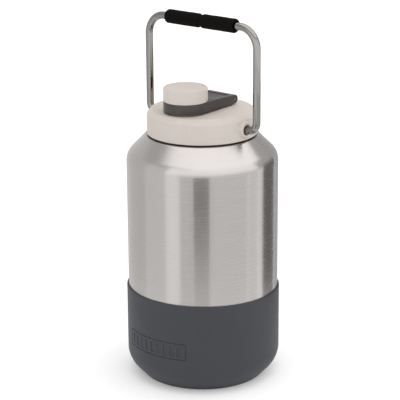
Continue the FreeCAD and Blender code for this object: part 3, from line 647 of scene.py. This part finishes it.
def socket_cutter(side):
    """What is cut from the lid for one foot of the bail: a blind bore with a wide mouth."""
    mouth = SOCKET_RADIUS + 1.3
    deep, lip, out = 52.2, BOSS_REACH - 4.4, BOSS_REACH + 2.0
    corners = [(0.0, deep), (SOCKET_RADIUS, deep), (SOCKET_RADIUS, lip), (mouth - 0.3, lip),
               (mouth, lip + 0.3), (mouth, BOSS_REACH - 0.5), (mouth + 0.5, BOSS_REACH),
               (mouth + 1.5, out), (0.0, out)]
    outline = [(r, x * side) for r, x in corners]
    return moved(turned("socket_cutter", outline, angles=even_angles(72), along="x"),
                 0, PIVOT_Z)


def inner_boss(side):
    """The thicker wall round one socket, inside the lid's cover."""
    radius, near, far = 8.8, 51.3, 56.4
    reach = [(SOCKET_RADIUS, near), (radius, near), (radius, far), (SOCKET_RADIUS, far)]
    outline = [(r, x * side) for r, x in reach]
    return moved(turned("inner_boss", outline, angles=even_angles(64), along="x"), 0, PIVOT_Z)


def hinge_lug():
    """The lug on the lid's top that the strap's pin turns in."""
    radius, half, foot = 3.2, 9.0, LID_TOP - 1
    head = [(PIN_Y + radius * math.cos(a), PIN_Z + radius * math.sin(a))
            for a in np.linspace(0, math.pi, 17)]
    outline = [(PIN_Y + radius, foot)] + head + [(PIN_Y - radius, foot)]
    return extruded("lug", outline, -half, half, 0.35)


def pin_cutter():
    radius, half = 1.55, 12.0
    outline = [(0.0, -half), (radius, -half), (radius, half), (0.0, half)]
    return moved(turned("bore", outline, angles=even_angles(32), along="x"), PIN_Y, PIN_Z)


def seal_outline(inner, low, high):
    """Section of a flat seal ring, from its inner radius and the corners of its box."""
    return rounded([(inner, low.z, 0.3), (high.x, low.z, 0.3), (high.x, high.z, 0.3),
                    (inner, high.z, 0.3)])


def spout_cutter(low, high):
    outline = [(0.0, low), (SPOUT_RADIUS, low), (SPOUT_RADIUS, high), (0.0, high)]
    return turned("spout_cutter", outline, SPOUT_Y, even_angles(96))


def make_lid():
    cover = lid_shell()
    for side in (1, -1):
        cut(cover, inner_boss(side), "UNION")
        cut(cover, socket_cutter(side))
    cut(cover, hinge_lug(), "UNION")
    cut(cover, pin_cutter())
    cut(cover, spout_cutter(LID_TOP - 5, LID_TOP + 2))
    tidy_mesh(cover.data, 32)
    dress(cover, LID_PLASTIC, "lid", ["lid_cover"])


def make_lid_core():
    """The threaded skirt and the plug under the lid's cover, and the lid's gasket."""
    low, high, edge = core_low.z, core_high.z, core_high.x
    seat, skirt, skirt_outer = RIM + 1.55, 48.8, 51.0
    plug, plug_floor, wall = 44.0, 272.0, 1.6
    outline = rounded([(0.0, plug_floor), (plug, plug_floor, 1.0), (plug, seat, 0.4),
                       (skirt, seat, 0.4), (skirt, low, 0.4), (edge, low, 0.3),
                       (edge, low + wall), (skirt_outer, low + wall), (skirt_outer, high),
                       (plug - wall, high), (plug - wall, plug_floor + wall),
                       (0.0, plug_floor + wall)])
    outline = divided(outline, 0.35, low + 0.6, 284.0)
    laps, depth = 1.0, 1.3

    def inner_thread(angle, r, z):
        ridge = thread_ridge(angle, z, THREAD_START, LID_LEAD, laps, THREAD_BASE,
                             THREAD_CREST, depth, math.pi)
        return np.where(np.abs(r - skirt) < 0.05, r - ridge, r), z

    core = turned("lid_core_moulding", outline, angles=even_angles(240), form=inner_thread)
    cut(core, spout_cutter(270, 280))
    tidy_mesh(core.data, 35)
    dress(core, CORE_PLASTIC, "lid", ["lid_core"])

    gasket = seal_outline(44.2, gasket_low, gasket_high)
    dress(turned("lid_seal_ring", gasket), SEAL_RUBBER, "lid_seal",
          ["lid_gasket"])


def make_spout():
    """The off-centre tube through the lid, with its flange and screw thread."""
    bore, top = 13.4, spout_high.z
    flange = LID_TOP + 1.4
    outline = rounded([(bore, spout_low.z, 0.5), (SPOUT_RADIUS, spout_low.z),
                       (SPOUT_RADIUS, LID_TOP), (spout_high.x, LID_TOP),
                       (spout_high.x, flange, 0.5), (SPOUT_RADIUS, flange, 0.6),
                       (SPOUT_RADIUS, top, 0.9), (bore, top, 0.9)])
    outline = divided(outline, 0.18, flange + 1, top - 1)
    laps = 1.25

    def outer_thread(angle, r, z):
        ridge = thread_ridge(angle, z, cap_low.z, CAP_LEAD, laps, CAP_BASE, CAP_CREST,
                             CAP_DEPTH)
        return np.where(np.abs(r - SPOUT_RADIUS) < 0.05, r + ridge, r), z

    piece = turned("pouring_spout", outline, SPOUT_Y, even_angles(160), outer_thread)
    dress(piece, CORE_PLASTIC, "lid", ["spout"])


# ------------------------------------------------------------------ bail handle


def bend_points(before, corner, after, radius, step=5.0):
    """Arc that rounds one corner of a path in the XZ plane."""
    back = (before - corner).normalized()
    ahead = (after - corner).normalized()
    centre = corner + (back + ahead) * radius
    start = -ahead
    finish = -back
    sweep = start.angle(finish)
    parts = math.ceil(math.degrees(sweep) / step)
    return [centre + (start * math.cos(sweep * k / parts)
                      + finish * math.sin(sweep * k / parts)) * radius
            for k in range(parts + 1)]


def make_bail():
    """The bent wire, from one foot in the lid over the top to the other."""
    foot_bend, hand_bend, foot_end = 10.0, 21.5, 52.5
    corners = [Vector((foot_end, 0, PIVOT_Z)), Vector((LEG_X, 0, PIVOT_Z)),
               Vector((LEG_X, 0, BAR_Z)), Vector((-LEG_X, 0, BAR_Z)),
               Vector((-LEG_X, 0, PIVOT_Z)), Vector((-foot_end, 0, PIVOT_Z))]
    bends = [foot_bend, hand_bend, hand_bend, foot_bend]
    chamfer = Vector((0.4, 0, 0))
    path = [corners[0], corners[0] + chamfer]
    for i, bend in enumerate(bends, 1):
        path += bend_points(corners[i - 1], corners[i], corners[i + 1], bend)
    path += [corners[-1] - chamfer, corners[-1]]
    rod = tube("handle_wire", path, ROD_RADIUS)
    dress(rod, ROD_STEEL, "bail", ["handle_rod"])


def make_grips():
    """The two foam sleeves on the bail, each with a shallow groove near the middle."""
    radius, length = grip_high.z - BAR_Z, grip_high.x
    start, notch, slope = grip_low.x, 1.6, 3.4
    profile = rounded([(ROD_RADIUS, start), (radius - notch, start, 0.3),
                       (radius, start + slope, 1.2), (radius, 7.0, 0.25),
                       (radius - 0.5, 7.5, 0.35), (radius, 8.0, 0.25),
                       (radius, length, 1.5), (ROD_RADIUS + 0.7, length, 0.5),
                       (ROD_RADIUS, length - 1.0)])
    profile = divided(profile, 0.9)
    for side, hand in ((1, "right"), (-1, "left")):
        outline = [(p[0], p[1] * side) for p in profile]

        def foam_skin(angle, r, x, side=side):
            """Slight unevenness of the soft skin, the same on every run."""
            wave = (np.sin(3 * angle + 0.21 * x * side + 1.3 * side)
                    + np.sin(5 * angle - 0.37 * x + 0.6) * 0.6 + np.sin(0.52 * x + side))
            skin = ease(ROD_RADIUS + 1.2, ROD_RADIUS + 2.6, r)
            return r - 0.045 * (1.8 + wave) * skin, x

        grip = moved(turned("foam_grip_" + hand, outline, angles=even_angles(96),
                            form=foam_skin, along="x"), 0, BAR_Z)
        dress(grip, GRIP_FOAM, "bail", ["grip_" + hand])


# ------------------------------------------------------------------ strap and cap


def make_strap():
    """The CAD strap's own shape, with every edge rounded."""
    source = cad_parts["strap"]
    mesh = source.data.copy()
    mesh.name = "hinged_strap"
    piece = bpy.data.objects.new("hinged_strap", mesh)
    bpy.context.scene.collection.objects.link(piece)
    bm = bmesh.new()
    bm.from_mesh(mesh)
    bmesh.ops.remove_doubles(bm, verts=bm.verts, dist=1e-6)
    bmesh.ops.dissolve_limit(bm, angle_limit=math.radians(0.5), verts=bm.verts,
                             edges=bm.edges)
    bmesh.ops.recalc_face_normals(bm, faces=bm.faces)
    bm.to_mesh(mesh)
    bm.free()
    soften(piece, 0.4, 35)
    dress(piece, STRAP_PLASTIC, "strap", ["strap"])

    half, radius = pin_high.x, pin_high.z - PIN_Z
    outline = rounded([(0.0, -half), (radius, -half, 0.3), (radius, half, 0.3), (0.0, half)])
    pin = moved(turned("hinge_pin_bar", outline, angles=even_angles(32), along="x"),
                PIN_Y, PIN_Z)
    dress(pin, PIN_STEEL, "strap", ["hinge_pin"])


def make_cap():
    """The cap's cover, its threaded inside and its gasket."""
    inside = CAP_RADIUS - 2.0
    ceiling = cap_high.z - 2.1
    dish = 0.5                                 # depth of the hollow in the cap's top
    cover = rounded([(inside, cap_low.z, 0.3), (CAP_RADIUS, cap_low.z, 0.5),
                     (CAP_RADIUS, cap_high.z, 1.9), (19.4, cap_high.z, 0.5),
                     (18.4, cap_high.z - dish, 0.8), (0.0, cap_high.z - dish),
                     (0.0, ceiling), (inside, ceiling)], 6.0)
    dress(turned("cap_shell", cover, SPOUT_Y), LID_PLASTIC, "cap",
          ["cap_cover"])

    bore, neck, groove = 19.1, 20.9, 20.0      # the strap's ring lies in the groove
    foot, web = cap_core_low.z, 314.0
    collar, groove_top, top = foot + 1.2, 304.3, cap_core_high.z
    core = rounded([(bore, foot, 0.3), (neck, foot, 0.4), (neck, collar), (groove, collar),
                    (groove, groove_top), (neck, groove_top), (neck, cap_low.z),
                    (inside, cap_low.z), (inside, top), (0.0, top), (0.0, web),
                    (bore, web)])
    core = divided(core, 0.18, foot + 1, web - 1)
    laps = 1.0

    def inner_thread(angle, r, z):
        ridge = thread_ridge(angle, z, cap_low.z + 2.3, CAP_LEAD, laps, CAP_BASE,
                             CAP_CREST, CAP_DEPTH, math.pi)
        return np.where(np.abs(r - bore) < 0.05, r - ridge, r), z

    piece = turned("cap_core_moulding", core, SPOUT_Y, even_angles(160), inner_thread)
    dress(piece, CORE_PLASTIC, "cap", ["cap_core"])

    ring = seal_outline(12.0, cap_gasket_low, cap_gasket_high)
    dress(turned("cap_seal_ring", ring, SPOUT_Y), SEAL_RUBBER, "cap_seal",
          ["cap_gasket"])


# ------------------------------------------------------------------ studio


def make_camera():
    """Camera at the viewing angle of the picture that the growler was modelled from."""
    yaw, pitch, roll = 0.10, 17.05, -0.39
    distance, height = 1.5914, 0.6793
    data = bpy.data.cameras.new("camera")
    data.sensor_width = 36.0
    data.lens = 139.95
    data.clip_end = 100.0                      # past the floor's far edge
    camera = bpy.data.objects.new("camera", data)
    bpy.context.scene.collection.objects.link(camera)
    turn = (Matrix.Rotation(math.radians(VIEW + yaw), 4, "Z")
            @ Matrix.Rotation(math.radians(90 - pitch), 4, "X")
            @ Matrix.Rotation(math.radians(roll), 4, "Z"))
    camera.matrix_world = Matrix.Translation(around(VIEW, distance, height)) @ turn
    bpy.context.scene.camera = camera


def around(azimuth, distance, height):
    """A point at an azimuth of the camera's kind: 0 is in front of the spout."""
    a = math.radians(azimuth)
    return Vector((distance * math.sin(a), -distance * math.cos(a), height))


def make_studio():
    """White floor and world, one soft lamp, and the cards that the steel reflects."""
    floor_mesh = bpy.data.meshes.new("floor")
    half = 40.0                                # metres, so that its edge is out of sight
    floor_mesh.from_pydata([(-half, -half, 0), (half, -half, 0), (half, half, 0),
                            (-half, half, 0)], [], [(0, 1, 2, 3)])
    floor = bpy.data.objects.new("floor", floor_mesh)
    bpy.context.scene.collection.objects.link(floor)
    paper = moulded("floor_paper", (0.84, 0.84, 0.84), 0.9, 0.0, 0.0, 0.0, 1400.0, 0.0)
    paper_inputs = paper.node_tree.nodes["Principled BSDF"].inputs
    paper_inputs["Emission Color"].default_value = (1, 1, 1, 1)
    paper_inputs["Emission Strength"].default_value = 0.24
    floor.data.materials.append(paper)

    world = bpy.data.worlds.new("studio")
    world.use_nodes = True
    background = world.node_tree.nodes["Background"]
    background.inputs["Color"].default_value = (1.0, 1.0, 1.0, 1)
    background.inputs["Strength"].default_value = 0.62
    bpy.context.scene.world = world
    bpy.context.scene.view_settings.view_transform = "Standard"

    overhead("overhead", VIEW + 90, 10.0, 1.75)
    near, low_top, side_top = 0.27, 0.27, 0.40  # the cards' distance and upper edges
    for name, azimuth, width, brightness, low, high in (
            ("far_left", -147.0, 0.155, 0.78, 0.0, side_top),
            ("dim_left", -109.1, 0.25, 0.78, 0.0, side_top),
            ("left", -66.4, 0.162, 0.92, 0.0, side_top),
            ("bright_left", -41.4, 0.074, 1.20, 0.0, low_top),
            ("gap_side", -21.3, 0.081, 0.82, 0.0, 0.24),
            ("gap_high", -1.6, 0.100, 0.20, 0.135, 0.225),
            ("gap_middle", -1.6, 0.100, 0.44, 0.08, 0.135),
            ("gap_low", -1.6, 0.100, 0.70, 0.0, 0.08),
            ("right", 36.1, 0.268, 0.89, 0.0, low_top),
            ("bright_right", 71.0, 0.074, 0.97, 0.0, low_top),
            ("dark_right", 106.3, 0.156, 0.20, 0.0, 0.28),
            ("dim_back", 140.1, 0.14, 0.54, 0.0, side_top)):
        reflector(name, VIEW + azimuth, width, brightness, near, low, high)
    for step in range(5):
        reflector("front_%d" % step, VIEW - 41 + 28 * step, 0.21, 1.5, 0.42, 0.275, 0.60)


def overhead(name, azimuth, tilt, power):
    """A very wide, soft light from above, tilted a little towards one side."""
    data = bpy.data.lights.new(name, "SUN")
    data.energy = power
    data.angle = math.radians(92)
    lamp = bpy.data.objects.new(name, data)
    bpy.context.scene.collection.objects.link(lamp)
    source = around(azimuth, math.sin(math.radians(tilt)), math.cos(math.radians(tilt)))
    lamp.rotation_mode = "QUATERNION"
    lamp.rotation_quaternion = (-source).to_track_quat("-Z", "Y")


def reflector(name, azimuth, width, brightness, distance, low, high):
    """An upright card that only shows in reflections: bright, or dark for a gap."""
    centre = around(azimuth, distance, 0)
    along = Vector((0, 0, 1)).cross(centre.normalized()) * width / 2
    mesh = bpy.data.meshes.new(name)
    mesh.from_pydata([tuple(centre - along + Vector((0, 0, low))),
                      tuple(centre + along + Vector((0, 0, low))),
                      tuple(centre + along + Vector((0, 0, high))),
                      tuple(centre - along + Vector((0, 0, high)))], [], [(0, 1, 2, 3)])
    card = bpy.data.objects.new(name, mesh)
    bpy.context.scene.collection.objects.link(card)
    material, _, shader = node_tree(name)
    shader.inputs["Base Color"].default_value = (0, 0, 0, 1)
    shader.inputs["Roughness"].default_value = 1.0
    shader.inputs["Specular IOR Level"].default_value = 0.0
    shader.inputs["Emission Color"].default_value = (1, 1, 1, 1)
    shader.inputs["Emission Strength"].default_value = brightness
    card.data.materials.append(material)
    card.visible_camera = False
    card.visible_diffuse = False
    card.visible_shadow = False
    card.visible_transmission = False


make_camera()
make_shell()
make_vessel()
make_base()
make_boot()
make_skirt_ring()
make_lid()
make_lid_core()
make_spout()
make_bail()
make_grips()
make_strap()
make_cap()
for node, finish in (("vacuum_seal", GLASS_BEAD), ("getter", GETTER),
                     ("lid_insulation", WHITE_FOAM), ("cap_insulation", WHITE_FOAM),
                     ("spout_seal_ring", BLACK_RUBBER)):
    dress_node(node, finish)
make_studio()

bpy.context.view_layer.update()
